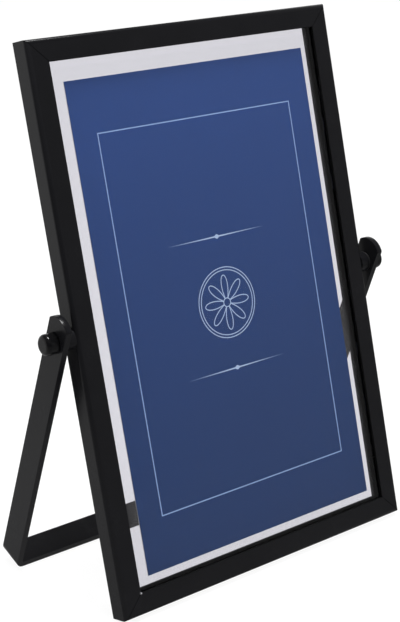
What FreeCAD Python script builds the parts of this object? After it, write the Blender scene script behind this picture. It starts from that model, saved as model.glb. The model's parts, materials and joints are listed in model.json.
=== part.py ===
"""A slim metal picture frame with two panes, on a U-shaped stand that swivels at its sides.

The pieces are shaped with the frame upright: X runs across it, Y from the front face backwards and
Z up, from the middle of the front face's lower edge. The whole then leans back until the frame's
rear lower edge and the stand's lowest edge lie on the table, and the origin moves to the table
under the middle of the outline. All lengths are millimetres and all angles degrees.
"""
import FreeCAD
import Part

import math
import os

# Frame members, a channel that opens inwards
FRAME_WIDTH = 127.4
FRAME_HEIGHT = 190.0
FRAME_DEPTH = 7.6
FACE_WIDTH = 7.6
REAR_FACE_WIDTH = 7.4
SIDE_WALL = 1.2
FRONT_LIP = 1.0
REAR_LIP = 1.0
EDGE_ROUND = 1.6

# Panes and picture
PANE_PLAY = 0.8
PICTURE_THICKNESS = 0.3
PICTURE_WIDTH = 101.6
PICTURE_HEIGHT = 164.2
PICTURE_SLIP = 1.4

# Corner keys and their countersunk screws
KEY_LEG = 22.0
KEY_WIDTH = 4.4
KEY_THICKNESS = 1.2
KEY_SIDE_PLAY = 0.3
KEY_PANE_GAP = 0.5
KEY_SCREW_REACH = 15.0
SCREW_RADIUS = 1.0
SCREW_HEAD_RADIUS = 1.8
SCREW_HEAD_DEPTH = 0.8
SCREW_HOLE_PLAY = 0.1
SCREW_SLOT_WIDTH = 0.5
SCREW_SLOT_DEPTH = 0.4

# Bow springs that press the panes forwards
SPRING_STOCK = 0.3
SPRING_WIDTH = 3.6
SPRING_LENGTH = 26.0
SPRING_FOOT = 4.0
SPRING_CROWN = 6.0
SPRING_HEIGHT_SHARES = (0.28, 0.72)

# Pivot bosses, swaged into the stiles
BOSS_RADIUS = 3.6
BOSS_LENGTH = 3.5
BOSS_SHANK_RADIUS = 2.1
BOSS_COLLAR_RADIUS = 2.6
BOSS_COLLAR_THICKNESS = 0.5

# Knobs, studs and washers
STUD_RADIUS = 1.5
STUD_BOSS_CLEARANCE = 0.05
STUD_TIP_SETBACK = 0.2
WASHER_HOLE_PLAY = 0.1
FRICTION_WASHER_THICKNESS = 0.5
OUTER_WASHER_RADIUS = 3.0
OUTER_WASHER_THICKNESS = 0.4
KNOB_RADIUS = 3.6
KNOB_LENGTH = 4.2
KNOB_ROUND = 1.5
KNOB_SOCKET_DEPTH = 2.4

# Stand, one flat strip bent into a U
STRIP_THICKNESS = 2.2
STRIP_WIDTH = 9.8
BEND_RADIUS = 0.8
LEG_END_REACH = 9.3
LEG_END_RADIUS = 6.6
LEG_END_CORNER = 1.0
LEG_HOLE_CLEARANCE = 0.08
SWING_CLEARANCE = 0.6
STAND_ANGLE = 35.0

# How far a cutting shape reaches past what it cuts
OVERRUN = 2.0

HALF_WIDTH = FRAME_WIDTH / 2
PIVOT_Y = FRAME_DEPTH / 2
PIVOT_Z = FRAME_HEIGHT / 2
CHANNEL_REAR = FRAME_DEPTH - REAR_LIP

# The panes share the room that the lips, the keys and the picture leave in the channel.
PANES_REAR = CHANNEL_REAR - KEY_THICKNESS - KEY_PANE_GAP
PANE_THICKNESS = (PANES_REAR - FRONT_LIP - PICTURE_THICKNESS) / 2
PICTURE_FRONT = FRONT_LIP + PANE_THICKNESS
REAR_PANE_FRONT = PICTURE_FRONT + PICTURE_THICKNESS

KEY_EDGE = SIDE_WALL + KEY_SIDE_PLAY
KEY_MIDDLE = KEY_EDGE + KEY_WIDTH / 2
LEG_INNER_X = HALF_WIDTH + BOSS_LENGTH + FRICTION_WASHER_THICKNESS
LEG_OUTER_X = LEG_INNER_X + STRIP_THICKNESS
KNOB_FOOT_X = LEG_OUTER_X + OUTER_WASHER_THICKNESS

# The bar passes round the frame's corners when the stand swings, so its reach follows from them.
BAR_REACH = math.hypot(PIVOT_Z, PIVOT_Y) + SWING_CLEARANCE + STRIP_THICKNESS

ALONG_X = FreeCAD.Vector(1, 0, 0)
ALONG_Y = FreeCAD.Vector(0, 1, 0)
ALONG_Z = FreeCAD.Vector(0, 0, 1)
SIDES = {"left": -1, "right": 1}


def block(x_low, x_high, y_low, y_high, z_low, z_high):
    """A box between two corners."""
    corner = FreeCAD.Vector(x_low, y_low, z_low)
    return Part.makeBox(x_high - x_low, y_high - y_low, z_high - z_low, corner)


def cross_rod(radius, x_from, x_to):
    """A cylinder on the pivot axis between two places across the frame."""
    start = FreeCAD.Vector(min(x_from, x_to), PIVOT_Y, PIVOT_Z)
    return Part.makeCylinder(radius, abs(x_to - x_from), start, ALONG_X)


def prism(points, direction):
    """A solid from a closed outline of points, pushed along a vector."""
    outline = Part.makePolygon(points + points[:1])
    return Part.Face(outline).extrude(direction)


def arc_edge(start, middle, end):
    """A round stretch of an outline through three points."""
    return Part.Arc(start, middle, end).toShape()


def on_side(shape, side):
    """Moves a shape made for the bottom rail, centred on it, to the named side of the frame."""
    turns = {
        "bottom": (0, 0, 0),
        "right": (-90, HALF_WIDTH, FRAME_HEIGHT / 2),
        "top": (180, 0, FRAME_HEIGHT),
        "left": (90, -HALF_WIDTH, FRAME_HEIGHT / 2),
    }
    return turned(shape, *turns[side])


def on_corner(shape, corner):
    """Moves a shape made for the lower left corner, with that corner at zero, to the named corner."""
    turns = {
        "bottom_left": (0, -HALF_WIDTH, 0),
        "bottom_right": (-90, HALF_WIDTH, 0),
        "top_right": (180, HALF_WIDTH, FRAME_HEIGHT),
        "top_left": (90, -HALF_WIDTH, FRAME_HEIGHT),
    }
    return turned(shape, *turns[corner])


def turned(shape, angle, x, z):
    """A copy of a shape, turned about the depth axis and set down at a place on the front plane."""
    moved = shape.copy()
    moved.rotate(FreeCAD.Vector(0, 0, 0), ALONG_Y, angle)
    moved.translate(FreeCAD.Vector(x, 0, z))
    return moved


def channel_bar(length):
    """The members' section drawn out to a straight bar, with its outer wall on the zero plane."""
    x = -length / 2

    def point(across, depth):
        return FreeCAD.Vector(x, depth, across)

    slack = EDGE_ROUND * (1 - math.sqrt(0.5))
    corners = [
        point(EDGE_ROUND, 0),
        point(FACE_WIDTH, 0),
        point(FACE_WIDTH, FRONT_LIP),
        point(SIDE_WALL, FRONT_LIP),
        point(SIDE_WALL, CHANNEL_REAR),
        point(REAR_FACE_WIDTH, CHANNEL_REAR),
        point(REAR_FACE_WIDTH, FRAME_DEPTH),
        point(0, FRAME_DEPTH),
        point(0, EDGE_ROUND),
    ]
    edges = [Part.makeLine(start, end) for start, end in zip(corners, corners[1:])]
    edges.append(arc_edge(corners[-1], point(slack, slack), corners[0]))
    section = Part.Face(Part.Wire(edges))
    return section.extrude(FreeCAD.Vector(length, 0, 0))


def key_screw():
    """A countersunk screw, its head flush with the frame's rear face and its tip flush with the key."""
    head_foot = FRAME_DEPTH - SCREW_HEAD_DEPTH
    key_front = CHANNEL_REAR - KEY_THICKNESS
    shank_start = FreeCAD.Vector(0, key_front, 0)
    shank = Part.makeCylinder(SCREW_RADIUS, head_foot - key_front, shank_start, ALONG_Y)
    head_start = FreeCAD.Vector(0, head_foot, 0)
    head = Part.makeCone(SCREW_RADIUS, SCREW_HEAD_RADIUS, SCREW_HEAD_DEPTH, head_start, ALONG_Y)
    slot = block(
        -SCREW_HEAD_RADIUS, SCREW_HEAD_RADIUS,
        FRAME_DEPTH - SCREW_SLOT_DEPTH, FRAME_DEPTH + OVERRUN,
        -SCREW_SLOT_WIDTH / 2, SCREW_SLOT_WIDTH / 2,
    )
    return shank.fuse(head).cut(slot)


def screw_seat():
    """The countersink and through hole for one key screw in the rear lip."""
    head_start = FreeCAD.Vector(0, FRAME_DEPTH - SCREW_HEAD_DEPTH, 0)
    sink = Part.makeCone(SCREW_RADIUS, SCREW_HEAD_RADIUS, SCREW_HEAD_DEPTH, head_start, ALONG_Y)
    hole_start = FreeCAD.Vector(0, CHANNEL_REAR - OVERRUN / 2, 0)
    hole_radius = SCREW_RADIUS + SCREW_HOLE_PLAY
    hole = Part.makeCylinder(hole_radius, REAR_LIP + OVERRUN, hole_start, ALONG_Y)
    return sink.fuse(hole)


def frame_member(length, pivot_hole):
    """One mitred side of the frame, lying as the bottom rail."""
    half = length / 2
    outline = [
        FreeCAD.Vector(-half, 0, 0),
        FreeCAD.Vector(half, 0, 0),
        FreeCAD.Vector(half - FACE_WIDTH, 0, FACE_WIDTH),
        FreeCAD.Vector(FACE_WIDTH - half, 0, FACE_WIDTH),
    ]
    mitres = prism(outline, FreeCAD.Vector(0, FRAME_DEPTH, 0))
    member = channel_bar(length).common(mitres)
    for x in (KEY_SCREW_REACH - half, half - KEY_SCREW_REACH):
        seat = screw_seat()
        seat.translate(FreeCAD.Vector(x, 0, KEY_MIDDLE))
        member = member.cut(seat)
    if pivot_hole:
        start = FreeCAD.Vector(0, PIVOT_Y, -OVERRUN)
        hole = Part.makeCylinder(BOSS_SHANK_RADIUS, SIDE_WALL + 2 * OVERRUN, start, ALONG_Z)
        member = member.cut(hole)
    return member


def screw_places():
    """The two screw places of a corner, one on each leg of its key."""
    return [(KEY_SCREW_REACH, KEY_MIDDLE), (KEY_MIDDLE, KEY_SCREW_REACH)]


def corner_key():
    """A flat L against the rear lip, that joins two members at the lower left corner."""
    edge = KEY_EDGE
    outline = [
        (edge, edge),
        (KEY_LEG, edge),
        (KEY_LEG, edge + KEY_WIDTH),
        (edge + KEY_WIDTH, edge + KEY_WIDTH),
        (edge + KEY_WIDTH, KEY_LEG),
        (edge, KEY_LEG),
    ]
    front = CHANNEL_REAR - KEY_THICKNESS
    points = [FreeCAD.Vector(x, front, z) for x, z in outline]
    key = prism(points, FreeCAD.Vector(0, KEY_THICKNESS, 0))
    for x, z in screw_places():
        start = FreeCAD.Vector(x, front - OVERRUN, z)
        key = key.cut(Part.makeCylinder(SCREW_RADIUS, KEY_THICKNESS + 2 * OVERRUN, start, ALONG_Y))
    return key


def corner_screws(corner):
    """The two screws of one corner key."""
    screws = []
    for x, z in screw_places():
        screw = key_screw()
        screw.translate(FreeCAD.Vector(x, 0, z))
        screws.append(on_corner(screw, corner))
    return screws


def pane_spring(offset):
    """A bow spring on the bottom rail: two feet on the rear pane and a crown on the rear lip."""
    end = SPRING_LENGTH / 2
    foot = end - SPRING_FOOT
    crown = SPRING_CROWN / 2
    low = PANES_REAR
    high = CHANNEL_REAR - SPRING_STOCK
    path = [(-end, low), (-foot, low), (-crown, high), (crown, high), (foot, low), (end, low)]
    back = [(x, y + SPRING_STOCK) for x, y in reversed(path)]
    z = (SIDE_WALL + REAR_FACE_WIDTH - SPRING_WIDTH) / 2
    points = [FreeCAD.Vector(offset + x, y, z) for x, y in path + back]
    return prism(points, FreeCAD.Vector(0, 0, SPRING_WIDTH))


def stile_springs(side):
    """The springs of one stile, at their shares of the frame's height."""
    offsets = [share * FRAME_HEIGHT - FRAME_HEIGHT / 2 for share in SPRING_HEIGHT_SHARES]
    return [on_side(pane_spring(offset), side) for offset in offsets]


def pane(front):
    """A pane of glass that stands in the channel on the bottom rail."""
    half = HALF_WIDTH - SIDE_WALL - PANE_PLAY
    top = FRAME_HEIGHT - SIDE_WALL - 2 * PANE_PLAY
    return block(-half, half, front, front + PANE_THICKNESS, SIDE_WALL, top)


def picture():
    """The picture between the panes. It has slipped a little below the middle."""
    half = PICTURE_WIDTH / 2
    bottom = (FRAME_HEIGHT - PICTURE_HEIGHT) / 2 - PICTURE_SLIP
    return block(-half, half, PICTURE_FRONT, REAR_PANE_FRONT, bottom, bottom + PICTURE_HEIGHT)


def pivot_boss(way):
    """A threaded boss on a stile's side, with a shank through the wall and a collar behind it."""
    wall_inside = HALF_WIDTH - SIDE_WALL
    collar_end = wall_inside - BOSS_COLLAR_THICKNESS
    head = cross_rod(BOSS_RADIUS, way * HALF_WIDTH, way * (HALF_WIDTH + BOSS_LENGTH))
    shank = cross_rod(BOSS_SHANK_RADIUS, way * wall_inside, way * HALF_WIDTH)
    collar = cross_rod(BOSS_COLLAR_RADIUS, way * collar_end, way * wall_inside)
    hole_radius = STUD_RADIUS + STUD_BOSS_CLEARANCE
    hole = cross_rod(hole_radius, way * (collar_end - OVERRUN), way * (LEG_INNER_X + OVERRUN))
    return head.fuse([shank, collar]).cut(hole)


def washer(radius, x_low, x_high, way):
    """A flat washer on the stud between two places."""
    hole_radius = STUD_RADIUS + WASHER_HOLE_PLAY
    hole = cross_rod(hole_radius, way * (x_low - OVERRUN), way * (x_high + OVERRUN))
    return cross_rod(radius, way * x_low, way * x_high).cut(hole)


def knob(way):
    """A round knob with a blind socket for its stud and a rounded outer rim."""
    head = cross_rod(KNOB_RADIUS, way * KNOB_FOOT_X, way * (KNOB_FOOT_X + KNOB_LENGTH))
    rim = max(head.Edges, key=lambda edge: way * edge.CenterOfMass.x)
    rounded = head.makeFillet(KNOB_ROUND, [rim])
    socket_start = way * (KNOB_FOOT_X - OVERRUN)
    socket_end = way * (KNOB_FOOT_X + KNOB_SOCKET_DEPTH)
    return rounded.cut(cross_rod(STUD_RADIUS, socket_start, socket_end))


def knob_stud(way):
    """The stud from the knob's socket through washers and leg into the boss."""
    tip = HALF_WIDTH - SIDE_WALL + STUD_TIP_SETBACK
    return cross_rod(STUD_RADIUS, way * tip, way * (KNOB_FOOT_X + KNOB_SOCKET_DEPTH))


def tray_face(half_width, bottom, top, radius):
    """An upright face with two round lower corners, centred on the pivot's depth."""
    slack = radius * (1 - math.sqrt(0.5))

    def point(x, z):
        return FreeCAD.Vector(x, PIVOT_Y - STRIP_WIDTH / 2, z)

    lower_right = [
        point(half_width - radius, bottom),
        point(half_width - slack, bottom + slack),
        point(half_width, bottom + radius),
    ]
    lower_left = [
        point(-half_width, bottom + radius),
        point(slack - half_width, bottom + slack),
        point(radius - half_width, bottom),
    ]
    top_left = point(-half_width, top)
    top_right = point(half_width, top)
    edges = [
        arc_edge(*lower_right),
        Part.makeLine(lower_right[-1], top_right),
        Part.makeLine(top_right, top_left),
        Part.makeLine(top_left, lower_left[0]),
        arc_edge(*lower_left),
        Part.makeLine(lower_left[-1], lower_right[0]),
    ]
    return Part.Face(Part.Wire(edges))


def strip_side(bottom, top):
    """The stand seen from its side, drawn across the whole stand: straight edges, domed ends."""
    half = STRIP_WIDTH / 2
    shoulder = top - LEG_END_RADIUS + math.sqrt(LEG_END_RADIUS**2 - half**2)

    def point(y, z):
        return FreeCAD.Vector(-LEG_OUTER_X, PIVOT_Y + y, z)

    edges = [
        Part.makeLine(point(-half, bottom), point(half, bottom)),
        Part.makeLine(point(half, bottom), point(half, shoulder)),
        arc_edge(point(half, shoulder), point(0, top), point(-half, shoulder)),
        Part.makeLine(point(-half, shoulder), point(-half, bottom)),
    ]
    solid = Part.Face(Part.Wire(edges)).extrude(FreeCAD.Vector(2 * LEG_OUTER_X, 0, 0))
    corners = [
        edge for edge in solid.Edges
        if edge.BoundBox.XLength > LEG_OUTER_X and edge.CenterOfMass.z > PIVOT_Z
    ]
    return solid.makeFillet(LEG_END_CORNER, corners)


def stand_bar():
    """The U-shaped stand, swung back about the pivots by its angle to the frame."""
    bottom = PIVOT_Z - BAR_REACH
    top = PIVOT_Z + LEG_END_REACH
    depth = FreeCAD.Vector(0, STRIP_WIDTH, 0)
    outside = tray_face(LEG_OUTER_X, bottom, top, BEND_RADIUS + STRIP_THICKNESS).extrude(depth)
    inner_bottom = bottom + STRIP_THICKNESS
    inside = tray_face(LEG_INNER_X, inner_bottom, top + OVERRUN, BEND_RADIUS).extrude(depth)
    hole_radius = STUD_RADIUS + LEG_HOLE_CLEARANCE
    hole = cross_rod(hole_radius, -LEG_OUTER_X - OVERRUN, LEG_OUTER_X + OVERRUN)
    bar = outside.cut(inside).common(strip_side(bottom, top)).cut(hole)
    bar.rotate(FreeCAD.Vector(0, PIVOT_Y, PIVOT_Z), ALONG_X, STAND_ANGLE)
    return bar


def bar_corner(way):
    """Depth and height of the bar's front (-1) or rear (1) lower edge while the frame is upright."""
    swing = math.radians(STAND_ANGLE)
    half = way * STRIP_WIDTH / 2
    y = PIVOT_Y + half * math.cos(swing) + BAR_REACH * math.sin(swing)
    z = PIVOT_Z + half * math.sin(swing) - BAR_REACH * math.cos(swing)
    return y, z


def lean_angle():
    """The angle that brings the bar's front lower edge level with the frame's rear lower edge."""
    y, z = bar_corner(-1)
    return math.atan2(z, y - FRAME_DEPTH)


def outline_middle(lean):
    """Depth of the outline's middle behind the frame's rear lower edge, once the frame leans."""
    round_y = EDGE_ROUND - FRAME_DEPTH
    foremost = round_y * math.cos(lean) + EDGE_ROUND * math.sin(lean) - EDGE_ROUND
    y, z = bar_corner(1)
    rearmost = (y - FRAME_DEPTH) * math.cos(lean) + z * math.sin(lean)
    return (foremost + rearmost) / 2


def stood_up(shape):
    """Leans a shape back with the frame and sets the origin on the table below the middle."""
    lean = lean_angle()
    placed = shape.copy()
    placed.rotate(FreeCAD.Vector(0, FRAME_DEPTH, 0), ALONG_X, -math.degrees(lean))
    placed.translate(FreeCAD.Vector(0, -FRAME_DEPTH - outline_middle(lean), 0))
    return placed


def frame_pieces():
    """The four members with their keys, screws, springs and bosses."""
    pieces = {
        "rail_top": on_side(frame_member(FRAME_WIDTH, False), "top"),
        "rail_bottom": on_side(frame_member(FRAME_WIDTH, False), "bottom"),
        "pane_spring_top": on_side(pane_spring(0), "top"),
        "pane_spring_bottom": on_side(pane_spring(0), "bottom"),
    }
    screws = []
    for corner in ("top_left", "top_right", "bottom_left", "bottom_right"):
        pieces["corner_key_" + corner] = on_corner(corner_key(), corner)
        screws += corner_screws(corner)
    pieces["key_screws"] = Part.makeCompound(screws)
    for side, way in SIDES.items():
        pieces["stile_" + side] = on_side(frame_member(FRAME_HEIGHT, True), side)
        pieces["pane_springs_" + side] = Part.makeCompound(stile_springs(side))
        pieces["pivot_boss_" + side] = pivot_boss(way)
    return pieces


def glazing_pieces():
    """The two panes and the picture between them."""
    return {
        "glass_front": pane(FRONT_LIP),
        "picture": picture(),
        "glass_rear": pane(REAR_PANE_FRONT),
    }


def swivel_pieces():
    """The stand with the washers, studs and knobs that hold it."""
    pieces = {"stand_bar": stand_bar()}
    for side, way in SIDES.items():
        boss_end = HALF_WIDTH + BOSS_LENGTH
        pieces["friction_washer_" + side] = washer(BOSS_RADIUS, boss_end, LEG_INNER_X, way)
        pieces["outer_washer_" + side] = washer(OUTER_WASHER_RADIUS, LEG_OUTER_X, KNOB_FOOT_X, way)
        pieces["knob_stud_" + side] = knob_stud(way)
        pieces["knob_" + side] = knob(way)
    return pieces


def main():
    """Writes one file for each named piece."""
    os.makedirs("parts", exist_ok=True)
    pieces = {**frame_pieces(), **glazing_pieces(), **swivel_pieces()}
    for name, shape in pieces.items():
        stood_up(shape).exportStep("parts/" + name + ".step")


main()
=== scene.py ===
"""Looks of a slim black picture frame with a floating print, on its swivelling U-shaped stand."""
import json
import math

import bpy
from mathutils import Matrix, Vector

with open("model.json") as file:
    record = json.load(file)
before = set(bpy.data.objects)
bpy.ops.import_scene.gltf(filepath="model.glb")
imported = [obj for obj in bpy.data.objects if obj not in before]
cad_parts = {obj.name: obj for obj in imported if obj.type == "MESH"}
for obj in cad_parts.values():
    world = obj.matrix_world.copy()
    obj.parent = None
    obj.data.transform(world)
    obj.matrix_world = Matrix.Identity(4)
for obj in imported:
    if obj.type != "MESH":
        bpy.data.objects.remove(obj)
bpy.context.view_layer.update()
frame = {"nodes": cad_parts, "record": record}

MM = 0.001
MEMBERS = ("rail_top", "rail_bottom", "stile_left", "stile_right")
PANES = ("glass_front", "glass_rear")

# To the part's right and towards its back
RIGHT = Vector((1, 0, 0))
BACK = Vector((0, 1, 0))

# The camera, at the photograph's place
CAMERA_PLACE = Vector((-0.31761, -0.38908, 0.25819))
CAMERA_AIM = Vector((-0.01367, -0.01078, 0.09252))
CAMERA_ROLL = -0.48
CAMERA_LENS = 87.86
CAMERA_SENSOR = 36.0
CAMERA_REACH = (0.01, 50.0)

# The soft lamp overhead: its place, the point it looks at, its side and its watts
SOFTBOX_PLACE = Vector((0.05, -0.05, 1.15))
SOFTBOX_AIM = Vector((0, 0, 0.09))
SOFTBOX_SIDE = 0.34
SOFTBOX_POWER = 14

# Colours, as linear light
SATIN_BLACK = (0.0060, 0.0060, 0.0070)
GLOSS_BLACK = (0.0036, 0.0036, 0.0040)
BLACK_OXIDE = (0.022, 0.022, 0.025)
BLUED_SPRING = (0.028, 0.030, 0.038)
NYLON_BLACK = (0.008, 0.008, 0.009)
# The bright metal of the painted glint at one inner corner of the members
GLINT_METAL = (0.62, 0.62, 0.64)
GLASS_TINT = (0.842, 0.837, 0.868)
GLASS_SHEEN = (0.72, 0.72, 0.72)
GLASS_SHADE = (0.94, 0.94, 0.945)
HAZE_WHITE = (0.9, 0.9, 0.9)
CARD_WHITE = (0.78, 0.77, 0.74)
# Painted shade: the print's blue is lighter at the top and darker at the bottom, as the light falls on
# it
PRINT_HIGH = (0.022, 0.067, 0.243)
PRINT_LOW = (0.008, 0.037, 0.133)
LINE_BLUE = (0.34, 0.50, 0.80)
MOTIF_BLUE = (0.50, 0.64, 0.86)
FLOOR_MATTE = (0.82, 0.82, 0.82)
WHITE = (1.0, 1.0, 1.0)

# Satin paint: how strongly it mirrors on the members and on the stand, the spots of its clouds,
# orange peel and dust, how rough they leave it, the peel's share of the relief, and its height
MEMBER_SHINE = 0.17
STAND_SHINE = 0.148
SATIN_CLOUD = 14 * MM
SATIN_PEEL = 0.5 * MM
SATIN_DUST = 0.12 * MM
SATIN_ROUGHNESS = 0.20
SATIN_CLOUD_ROUGHNESS = 0.07
SATIN_DUST_ROUGHNESS = 0.05
PEEL_SHARE = 0.8
SATIN_RELIEF = 0.010 * MM

# Gloss paint of the knobs and washers
KNOB_SHINE = 0.21
KNOB_PEEL = 0.7 * MM
KNOB_ROUGHNESS = 0.08
KNOB_PEEL_ROUGHNESS = 0.06
KNOB_RELIEF = 0.005 * MM

# The second tone of paint and nylon, of steel and of card, as a multiple of the first
PAINT_SPREAD = 1.5
STEEL_SPREAD = 1.6
CARD_SPREAD = 0.93

# Dark steel: the grain of oxide and of the springs, and their clouds in grains
OXIDE_GRAIN = 0.1 * MM
OXIDE_ROUGHNESS = 0.34
SPRING_GRAIN = 0.14 * MM
SPRING_ROUGHNESS = 0.30
STEEL_CLOUD_GRAINS = 8
STEEL_GRAIN_ROUGHNESS = 0.14
STEEL_RELIEF = 0.004 * MM

# Nylon of the friction washers
NYLON_SHINE = 0.4
NYLON_GRAIN = 0.2 * MM
NYLON_ROUGHNESS = 0.5
NYLON_GRAIN_ROUGHNESS = 0.12
NYLON_RELIEF = 0.006 * MM

# The members: their two lips, the seam at each mitre, and a painted glint, a small bright metal spot
# at one inner corner
RIM_WIDTH = 7.6 * MM
REAR_RIM_WIDTH = 7.4 * MM
LIP_THICKNESS = 1.0 * MM
LIP_EDGE_WIDTH = 0.1 * MM
LIP_EDGE_ROUGHNESS = 0.8
LIP_EDGE_SHINE = 0.05
SEAM_WIDTH = 0.24 * MM
MITRE_SLANT = math.sqrt(0.5)
GLINT_RADIUS = 0.5 * MM
GLINT_ROUGHNESS = 0.25

# The edges' rounding, and how far each pane is drawn in
MEMBER_ROUNDING = 0.10 * MM
STAND_ROUNDING = 0.45 * MM
SHARP_ANGLE = math.radians(40)
WELD_REACH = 0.001 * MM
PANE_DRAWN_IN = 0.03 * MM

# The panes: the strength of their haze, the spots in it, and how far from the frame's edges it
# starts and is full, which keeps it off what the lips hide
FRONT_HAZE = 0.0007
REAR_HAZE = 0.018
HAZE_SPOT = 6 * MM
HAZE_LEAST = 0.6
HAZE_SPREAD = 0.8
HAZE_START = 9.4 * MM
HAZE_FULL = 10.6 * MM
GLASS_IOR = 1.5

# The print's layout
BORDER_SIDE_INSET = 9.5 * MM
BORDER_END_INSET = 17.9 * MM
BORDER_LINE = 0.36 * MM
ROSETTE_REACH = 9.5 * MM
ROSETTE_PETALS = 8
ROSETTE_EYE = 1.5 * MM
RING_RADII = (11.2 * MM, 12.2 * MM)
MOTIF_LINE = 0.32 * MM
DIVIDER_REACH = 21.0 * MM
DIVIDER_HEIGHT = 23.0 * MM
DIVIDER_THICKNESS = 0.5 * MM
DIAMOND_REACH = 1.7 * MM
DIAMOND_SLANT = 0.6
INK_SOFTNESS = 0.10 * MM
BORDER_INK = 0.9
MOTIF_INK = 0.85

# The print's field and its card: how fast the blue fades down (painted shade, darker towards the
# bottom), the share of its clouds, the spots of clouds and fibre, and how deep the printed face counts
# as the front
FIELD_FADE = 1.5
FIELD_CLOUD_SHARE = 0.08
FIELD_CLOUD = 45 * MM
CARD_FIBRE = 0.25 * MM
CARD_SHINE = 0.2
CARD_ROUGHNESS = 0.5
CARD_FIBRE_ROUGHNESS = 0.08
CARD_RELIEF = 0.01 * MM
PRINT_DEPTH = 0.05 * MM

# How bright the surround is: as light on the part, and as the part's gloss shows it
AMBIENT = 0.64
GLOSS_BEHIND = 0.84
GLOSS_FLOOR_NEAR = 0.60
GLOSS_FLOOR_FAR = 0.82
GLOSS_ABOVE = 0.15
GLOSS_TOWARDS_CAMERA = 0.01
GLOSS_FRONT_RIGHT = 0.25

# How far a direction points right, back and up where the surround passes to its next brightness
RIGHT_SWEEP = (0.22, 0.60)
BACK_SWEEP = (0.0, 0.42)
ABOVE_SWEEP = (0.3, 0.65)

# The same for the floor, in metres: under the part, behind it and outwards, and half its side
FLOOR_UNDER = (-0.12, 0.10)
FLOOR_BEHIND = (0.12, 0.40)
FLOOR_OUT = (0.4, 2.0)
FLOOR_HALF = 4.0

# How white the floor is where it is seen, next to what falls on it
FLOOR_WHITE = 1.06
FLOOR_SEEN = 0.88

# What keeps a division by a distance from failing in the middle
FLOOR_MIDDLE = 0.01
ROSETTE_MIDDLE = 0.01 * MM


class Wire:
    """An output socket that takes part in arithmetic, so shader maths reads as an expression."""

    def __init__(self, nodes, socket):
        self.nodes = nodes
        self.socket = socket

    def maths(self, operation, *values):
        """A maths node on this wire and up to two more values."""
        sockets = dict(enumerate((self, *values)))
        return self.nodes.add("ShaderNodeMath", {"operation": operation}, sockets)

    def after(self, operation, first):
        """A maths node with a plain number before this wire."""
        return self.nodes.add("ShaderNodeMath", {"operation": operation}, {0: first, 1: self})

    def __add__(self, other):
        return self.maths("ADD", other)

    def __sub__(self, other):
        return self.maths("SUBTRACT", other)

    def __mul__(self, other):
        return self.maths("MULTIPLY", other)

    def __truediv__(self, other):
        return self.maths("DIVIDE", other)

    def __pow__(self, other):
        return self.maths("POWER", other)

    def __rsub__(self, other):
        return self.after("SUBTRACT", other)

    def __rtruediv__(self, other):
        return self.after("DIVIDE", other)

    def __rpow__(self, other):
        return self.after("POWER", other)

    def __abs__(self):
        return self.maths("ABSOLUTE")

    __radd__ = __add__
    __rmul__ = __mul__

    def clamped(self):
        """The wire held between 0 and 1."""
        return self.nodes.add("ShaderNodeClamp", {}, {"Value": self})

    def above(self, limit):
        """1 where the wire is greater than a limit, else 0."""
        return self.maths("GREATER_THAN", limit)

    def below(self, limit):
        """1 where the wire is less than a limit, else 0."""
        return self.maths("LESS_THAN", limit)

    def eased(self, start, end):
        """0 below the start, 1 above the end, and a soft step between them."""
        settings = {"interpolation_type": "SMOOTHSTEP"}
        sockets = {"Value": self, "From Min": start, "From Max": end}
        return self.nodes.add("ShaderNodeMapRange", settings, sockets)


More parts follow.
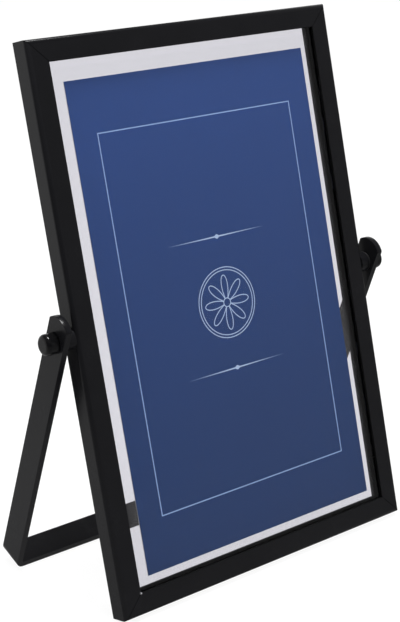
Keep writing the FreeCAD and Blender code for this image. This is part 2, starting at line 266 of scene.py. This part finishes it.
class Nodes:
    """A node tree whose nodes all come from one method."""

    def __init__(self, tree):
        self.tree = tree
        tree.nodes.clear()

    def add(self, kind, settings=None, sockets=None, output=0):
        """Makes a node, sets it up, fills its sockets with values or links, and gives an output."""
        node = self.tree.nodes.new(kind)
        for name, value in (settings or {}).items():
            setattr(node, name, value)
        for name, value in (sockets or {}).items():
            if isinstance(value, Wire):
                self.tree.links.new(value.socket, node.inputs[name])
            else:
                node.inputs[name].default_value = value
        return Wire(self, node.outputs[output]) if node.outputs else None

    def place(self):
        """Places in the part's own frame, in metres."""
        return self.add("ShaderNodeTexCoord", output="Object")

    def noise(self, spot, detail):
        """Noise from 0 to 1 whose spots are about one size across."""
        sockets = {"Vector": self.place(), "Scale": 1.0 / spot, "Detail": detail}
        return self.add("ShaderNodeTexNoise", {"noise_dimensions": "3D"}, sockets)

    def mix(self, share, first, second):
        """The first colour where the share is 0 and the second where it is 1."""
        sockets = {0: share, 6: colour(first), 7: colour(second)}
        return self.add("ShaderNodeMix", {"data_type": "RGBA"}, sockets, 2)

    def blend(self, share, first, second):
        """The first shader where the share is 0 and the second where it is 1."""
        return self.add("ShaderNodeMixShader", {}, {0: share, 1: first, 2: second})

    def bump(self, height, relief):
        """A normal from a height between 0 and 1 that stands for a relief in metres."""
        return self.add("ShaderNodeBump", {}, {"Height": height, "Distance": relief})

    def along(self, direction):
        """How far a place lies along a direction, in metres."""
        sockets = {0: self.place(), 1: direction}
        return self.add("ShaderNodeVectorMath", {"operation": "DOT_PRODUCT"}, sockets, "Value")

    def from_middle(self, name, direction):
        """How far a place lies from a node's middle along a direction, and half the node's span."""
        low, high = node_span(name, direction)
        return self.along(direction) - (low + high) / 2, (high - low) / 2

    def ray(self, kind):
        """1 for rays of a kind and 0 for the others."""
        return self.add("ShaderNodeLightPath", output="Is " + kind + " Ray")

    def seen(self):
        """1 for what the camera sees, straight or through glass, and 0 after a mirror or a matte."""
        mirrors = self.add("ShaderNodeLightPath", output="Glossy Depth")
        return (self.ray("Camera") + self.ray("Transmission") * (1 - mirrors)).clamped()

    def glow(self, strength):
        """White light that a surface gives off."""
        return self.add("ShaderNodeEmission", {}, {"Color": colour(WHITE), "Strength": strength})

    def matte(self, tone):
        """A plain matte surface."""
        return self.add("ShaderNodeBsdfDiffuse", {}, {"Color": colour(tone)})

    def principled(self, **sockets):
        """A principled surface, its sockets named with underscores."""
        named = {name.replace("_", " "): value for name, value in sockets.items()}
        return self.add("ShaderNodeBsdfPrincipled", {}, named)

    def finish(self, shader, kind="Material"):
        """Ends the tree with a shader."""
        self.add("ShaderNodeOutput" + kind, {}, {"Surface": shader})


def colour(value):
    """A colour with its alpha, or a link as it is."""
    return value if isinstance(value, Wire) else (*value, 1.0)


def lighter(value, factor):
    """A colour times a factor."""
    return tuple(factor * part for part in value)


def new_material(name):
    """An empty material and its nodes."""
    material = bpy.data.materials.new(name)
    material.use_nodes = True
    return material, Nodes(material.node_tree)


def node_span(name, direction):
    """The lowest and highest reach of a node along a direction, in metres."""
    reach = [vertex.co.dot(direction) for vertex in frame["nodes"][name].data.vertices]
    return min(reach), max(reach)


def frame_places(n, rise):
    """How far a place lies from the frame's middle, across and up, and from its sides and ends."""
    across, half_width = n.from_middle("rail_top", RIGHT)
    up, half_height = n.from_middle("stile_left", rise)
    return across, up, half_width - abs(across), half_height - abs(up)


def satin_paint(n, shine):
    """Baked satin paint: a fine orange peel and cloudy gloss."""
    clouds = n.noise(SATIN_CLOUD, detail=4.0)
    peel = n.noise(SATIN_PEEL, detail=2.0)
    dust = n.noise(SATIN_DUST, detail=1.0)
    return n.principled(
        Base_Color=n.mix(clouds, SATIN_BLACK, lighter(SATIN_BLACK, PAINT_SPREAD)),
        Roughness=SATIN_ROUGHNESS + SATIN_CLOUD_ROUGHNESS * clouds + SATIN_DUST_ROUGHNESS * dust,
        Specular_IOR_Level=shine,
        Normal=n.bump(peel * PEEL_SHARE + dust * (1 - PEEL_SHARE), SATIN_RELIEF),
    )


def satin_black():
    """The paint of the stand and the bosses."""
    material, n = new_material("satin_black_paint")
    n.finish(satin_paint(n, STAND_SHINE))
    return material


def mitred_black(normal, rise):
    """The paint of the four members, with dark seams, matt lip edges and a painted glint: a bright
    metal spot at one inner corner.
    """
    material, n = new_material("satin_black_members")
    across, up, from_side, from_end = frame_places(n, rise)
    seam = stroke(abs(from_side - from_end) * MITRE_SLANT, SEAM_WIDTH / 2)
    depth = node_span("stile_left", normal)[1] - n.along(normal)
    lip_width = RIM_WIDTH - depth.above(LIP_THICKNESS) * (RIM_WIDTH - REAR_RIM_WIDTH)
    past_lip = from_side.maths("MINIMUM", from_end) - lip_width + LIP_EDGE_WIDTH
    paint = satin_paint(n, MEMBER_SHINE)
    matt = n.principled(
        Base_Color=colour(GLOSS_BLACK),
        Roughness=LIP_EDGE_ROUGHNESS,
        Specular_IOR_Level=LIP_EDGE_SHINE,
    )
    dark = n.blend(either(seam, past_lip.above(0.0)), paint, matt)
    # Painted glint: a small bright bare-metal spot at the lower-left inner corner, standing in for a
    # highlight there
    from_corner = ((from_side - RIM_WIDTH) ** 2.0 + (from_end - RIM_WIDTH) ** 2.0) ** 0.5
    glint_spot = stroke(from_corner, GLINT_RADIUS) * (across.below(0.0) * up.below(0.0))
    metal = n.principled(Base_Color=colour(GLINT_METAL), Metallic=1.0, Roughness=GLINT_ROUGHNESS)
    n.finish(n.blend(glint_spot, dark, metal))
    return material


def gloss_black():
    """Hard gloss paint on the turned knobs and washers."""
    material, n = new_material("gloss_black_paint")
    peel = n.noise(KNOB_PEEL, detail=2.0)
    n.finish(n.principled(
        Base_Color=n.mix(peel, GLOSS_BLACK, lighter(GLOSS_BLACK, PAINT_SPREAD)),
        Roughness=KNOB_ROUGHNESS + KNOB_PEEL_ROUGHNESS * peel,
        Specular_IOR_Level=KNOB_SHINE,
        Normal=n.bump(peel, KNOB_RELIEF),
    ))
    return material


def dark_steel(name, tone, spot, roughness):
    """Steel with a dark finish, its grain and faint clouds."""
    material, n = new_material(name)
    clouds = n.noise(STEEL_CLOUD_GRAINS * spot, detail=3.0)
    grain = n.noise(spot, detail=2.0)
    n.finish(n.principled(
        Base_Color=n.mix(clouds, tone, lighter(tone, STEEL_SPREAD)),
        Metallic=1.0,
        Roughness=roughness + STEEL_GRAIN_ROUGHNESS * grain,
        Normal=n.bump(grain, STEEL_RELIEF),
    ))
    return material


def black_nylon():
    """Moulded nylon of the friction washers."""
    material, n = new_material("black_nylon")
    grain = n.noise(NYLON_GRAIN, detail=2.0)
    n.finish(n.principled(
        Base_Color=n.mix(grain, NYLON_BLACK, lighter(NYLON_BLACK, PAINT_SPREAD)),
        Roughness=NYLON_ROUGHNESS + NYLON_GRAIN_ROUGHNESS * grain,
        Specular_IOR_Level=NYLON_SHINE,
        Normal=n.bump(grain, NYLON_RELIEF),
    ))
    return material


def clear_pane(name, haze, rise):
    """A clear pane with a faint haze. Lamps and scattered light pass straight through it."""
    material, n = new_material(name)
    body = n.principled(
        Base_Color=colour(GLASS_TINT),
        Roughness=0.0,
        IOR=GLASS_IOR,
        Transmission_Weight=1.0,
        Specular_Tint=colour(GLASS_SHEEN),
    )
    _, _, from_side, from_end = frame_places(n, rise)
    is_open = from_side.maths("MINIMUM", from_end).eased(HAZE_START, HAZE_FULL)
    specks = haze * (HAZE_LEAST + HAZE_SPREAD * n.noise(HAZE_SPOT, detail=3.0)) * is_open
    pane = n.blend(specks, body, n.matte(HAZE_WHITE))
    open_way = n.add("ShaderNodeBsdfTransparent", {}, {"Color": colour(GLASS_SHADE)})
    passes = (n.ray("Shadow") + n.ray("Diffuse")).clamped()
    n.finish(n.blend(passes, pane, open_way))
    return material


def stroke(distance, half_width):
    """A line's mask: 1 within its half width, with a soft edge."""
    return ((half_width - distance) / INK_SOFTNESS + 0.5).clamped()


def either(*masks):
    """The mask that shows wherever one of them does."""
    result = masks[0]
    for mask in masks[1:]:
        result = result.maths("MAXIMUM", mask)
    return result


def border_mask(across, up, half_width, half_height):
    """A thin rectangular line, inset from the print's edges."""
    side = abs(across) - (half_width - BORDER_SIDE_INSET)
    end = abs(up) - (half_height - BORDER_END_INSET)
    return stroke(abs(side.maths("MAXIMUM", end)), BORDER_LINE / 2)


def rosette_mask(across, up):
    """A rosette of outlined petals with an eye, inside two thin rings."""
    reach = (across * across + up * up) ** 0.5
    turn = up.maths("ARCTAN2", across) * (ROSETTE_PETALS / 2)
    petal = reach - ROSETTE_REACH * abs(turn.maths("COSINE"))
    swing = ROSETTE_REACH * ROSETTE_PETALS / 2
    slope = turn.maths("SINE") * swing / (reach + ROSETTE_MIDDLE)
    outline = stroke(abs(petal) / (slope * slope + 1) ** 0.5, MOTIF_LINE / 2)
    outside_eye = (reach - ROSETTE_EYE).above(0.0)
    circles = [stroke(abs(reach - radius), MOTIF_LINE / 2) for radius in (ROSETTE_EYE, *RING_RADII)]
    return either(outline * outside_eye, *circles)


def divider_mask(across, up):
    """A tapering bar with a diamond in its middle, once above and once below the rosette."""
    height = abs(abs(up) - DIVIDER_HEIGHT)
    taper = (1 - abs(across) / DIVIDER_REACH).clamped()
    bar = stroke(height, taper * (DIVIDER_THICKNESS / 2)) * taper.above(0.0)
    diamond = stroke(height + abs(across) * DIAMOND_SLANT, DIAMOND_REACH / 2)
    return either(bar, diamond)


def printed_card(normal, rise):
    """Printed card: a blue field with painted shade, lighter at the top and darker at the bottom, a
    border line and plain motifs, and a white back.
    """
    material, n = new_material("printed_card")
    across, half_width = n.from_middle("picture", RIGHT)
    up, half_height = n.from_middle("picture", rise)
    fibre = n.noise(CARD_FIBRE, detail=3.0)
    clouds = n.noise(FIELD_CLOUD, detail=2.0)
    share_up = up / (2 * half_height) + 0.5
    height = (share_up * (1 - FIELD_CLOUD_SHARE) + clouds * FIELD_CLOUD_SHARE).clamped()
    # Painted shade: the blue runs from the darker bottom colour up to the lighter top one
    field = n.mix(height ** FIELD_FADE, PRINT_LOW, PRINT_HIGH)
    border = border_mask(across, up, half_width, half_height)
    motifs = either(rosette_mask(across, up), divider_mask(across, up))
    lined = n.mix(border * BORDER_INK, field, LINE_BLUE)
    printed = n.mix(motifs * MOTIF_INK, lined, MOTIF_BLUE)
    card = n.mix(fibre, CARD_WHITE, lighter(CARD_WHITE, CARD_SPREAD))
    front = node_span("picture", normal)[1]
    is_front = (n.along(normal) - (front - PRINT_DEPTH)).above(0.0)
    n.finish(n.principled(
        Base_Color=n.mix(is_front, card, printed),
        Roughness=CARD_ROUGHNESS + CARD_FIBRE_ROUGHNESS * fibre,
        Specular_IOR_Level=CARD_SHINE,
        Normal=n.bump(fibre, CARD_RELIEF),
    ))
    return material


def dress(materials):
    """Gives each node its own material, or else that of its slot in the record."""
    for part in frame["record"]["subparts"]:
        mesh = frame["nodes"][part["node"]].data
        slot = materials[part["material_slot"]]
        mesh.materials.clear()
        mesh.materials.append(materials.get(part["node"], slot))


def welded(name):
    """A node whose facets share their corners, ready for another modifier."""
    node = frame["nodes"][name]
    weld = node.modifiers.new("weld", "WELD")
    weld.merge_threshold = WELD_REACH
    return node


def soften_edges(name, width):
    """Rounds a node's sharp edges a little."""
    bevel = welded(name).modifiers.new("edges", "BEVEL")
    bevel.width = width
    bevel.segments = 2
    bevel.limit_method = "ANGLE"
    bevel.angle_limit = SHARP_ANGLE
    bevel.harden_normals = True


def draw_in_pane(name):
    """Draws a pane in by a hair, so that it doesn't share a face with what it touches."""
    hair = welded(name).modifiers.new("hair", "DISPLACE")
    hair.mid_level = 0.0
    hair.strength = -PANE_DRAWN_IN


def front_gloss(right):
    """How bright gloss shows the surround in front of the part, by how far right a place lies."""
    step = GLOSS_FRONT_RIGHT - GLOSS_TOWARDS_CAMERA
    return GLOSS_TOWARDS_CAMERA + step * right.eased(*RIGHT_SWEEP)


def floor_gloss(n):
    """How bright gloss shows the floor: dim in front, and like the surround far out."""
    across = n.along(RIGHT)
    depth = n.along(BACK)
    reach = (across * across + depth * depth) ** 0.5
    far_front = front_gloss(across / (reach + FLOOR_MIDDLE))
    front = GLOSS_FRONT_RIGHT + (far_front - GLOSS_FRONT_RIGHT) * reach.eased(*FLOOR_OUT)
    near = front + (GLOSS_FLOOR_NEAR - front) * depth.eased(*FLOOR_UNDER)
    return near + (GLOSS_FLOOR_FAR - GLOSS_FLOOR_NEAR) * depth.eased(*FLOOR_BEHIND)


def plain_floor():
    """A white floor that keeps a faint shadow where the camera sees it."""
    half = FLOOR_HALF
    corners = [(-half, -half, 0), (half, -half, 0), (half, half, 0), (-half, half, 0)]
    mesh = bpy.data.meshes.new("floor")
    mesh.from_pydata(corners, [], [(0, 1, 2, 3)])
    floor = bpy.data.objects.new("floor", mesh)
    bpy.context.scene.collection.objects.link(floor)
    material, n = new_material("floor_white")
    seen = n.seen()
    lit = n.blend(seen * FLOOR_SEEN, n.matte(FLOOR_MATTE), n.glow(FLOOR_WHITE))
    mirrored = n.ray("Glossy") * (1 - seen)
    n.finish(n.blend(mirrored, lit, n.glow(floor_gloss(n))))
    mesh.materials.append(material)


def studio_world():
    """White where it is seen, an even level as light, and dim in front where gloss shows it."""
    world = bpy.data.worlds.new("studio")
    world.use_nodes = True
    bpy.context.scene.world = world
    n = Nodes(world.node_tree)
    direction = n.add("ShaderNodeTexCoord", output="Generated")
    x, y, z = (
        n.add("ShaderNodeSeparateXYZ", {}, {"Vector": direction}, axis) for axis in "XYZ"
    )
    front = front_gloss(x)
    around = front + (GLOSS_BEHIND - front) * y.eased(*BACK_SWEEP)
    shine = around + (GLOSS_ABOVE - around) * z.eased(*ABOVE_SWEEP)
    seen = n.seen()
    mirrored = n.ray("Glossy") * (1 - seen)
    level = seen + mirrored * shine + (1 - seen - mirrored) * AMBIENT
    sockets = {"Color": colour(WHITE), "Strength": level}
    n.finish(n.add("ShaderNodeBackground", {}, sockets), "World")


def towards(place, aim):
    """The turn that makes a lamp or a camera at one place look at another."""
    return (aim - place).to_track_quat("-Z", "Y")


def overhead_softbox():
    """A square lamp above the part."""
    lamp = bpy.data.lights.new("overhead_softbox", "AREA")
    lamp.shape = "RECTANGLE"
    lamp.size = SOFTBOX_SIDE
    lamp.size_y = SOFTBOX_SIDE
    lamp.energy = SOFTBOX_POWER
    box = bpy.data.objects.new("overhead_softbox", lamp)
    box.location = SOFTBOX_PLACE
    box.rotation_euler = towards(SOFTBOX_PLACE, SOFTBOX_AIM).to_euler()
    bpy.context.scene.collection.objects.link(box)


def photograph_camera():
    """The camera that sees the part as the photograph does."""
    lens = bpy.data.cameras.new("camera")
    lens.lens = CAMERA_LENS
    lens.sensor_width = CAMERA_SENSOR
    lens.clip_start, lens.clip_end = CAMERA_REACH
    camera = bpy.data.objects.new("camera", lens)
    roll = Matrix.Rotation(math.radians(CAMERA_ROLL), 3, "Z")
    turn = towards(CAMERA_PLACE, CAMERA_AIM).to_matrix() @ roll
    camera.rotation_euler = turn.to_euler()
    camera.location = CAMERA_PLACE
    bpy.context.scene.collection.objects.link(camera)
    bpy.context.scene.camera = camera


def main():
    """Dresses the part and sets the stage."""
    normal = Vector(frame["record"]["mounts"][0]["axis"])
    rise = normal.cross(RIGHT).normalized()
    members = mitred_black(normal, rise)
    dress({
        "frame_black": satin_black(),
        **{name: members for name in MEMBERS},
        "knob_black": gloss_black(),
        "blackened_steel": dark_steel("black_oxide_steel", BLACK_OXIDE, OXIDE_GRAIN, OXIDE_ROUGHNESS),
        "spring_steel": dark_steel("blued_spring_strip", BLUED_SPRING, SPRING_GRAIN, SPRING_ROUGHNESS),
        "nylon": black_nylon(),
        "clear_glass": clear_pane("clear_pane", FRONT_HAZE, rise),
        "glass_rear": clear_pane("hazy_pane", REAR_HAZE, rise),
        "printed_paper": printed_card(normal, rise),
    })
    for name in MEMBERS:
        soften_edges(name, MEMBER_ROUNDING)
    soften_edges("stand_bar", STAND_ROUNDING)
    for name in PANES:
        draw_in_pane(name)
    plain_floor()
    studio_world()
    overhead_softbox()
    photograph_camera()
    bpy.context.scene.view_settings.view_transform = "Standard"


main()
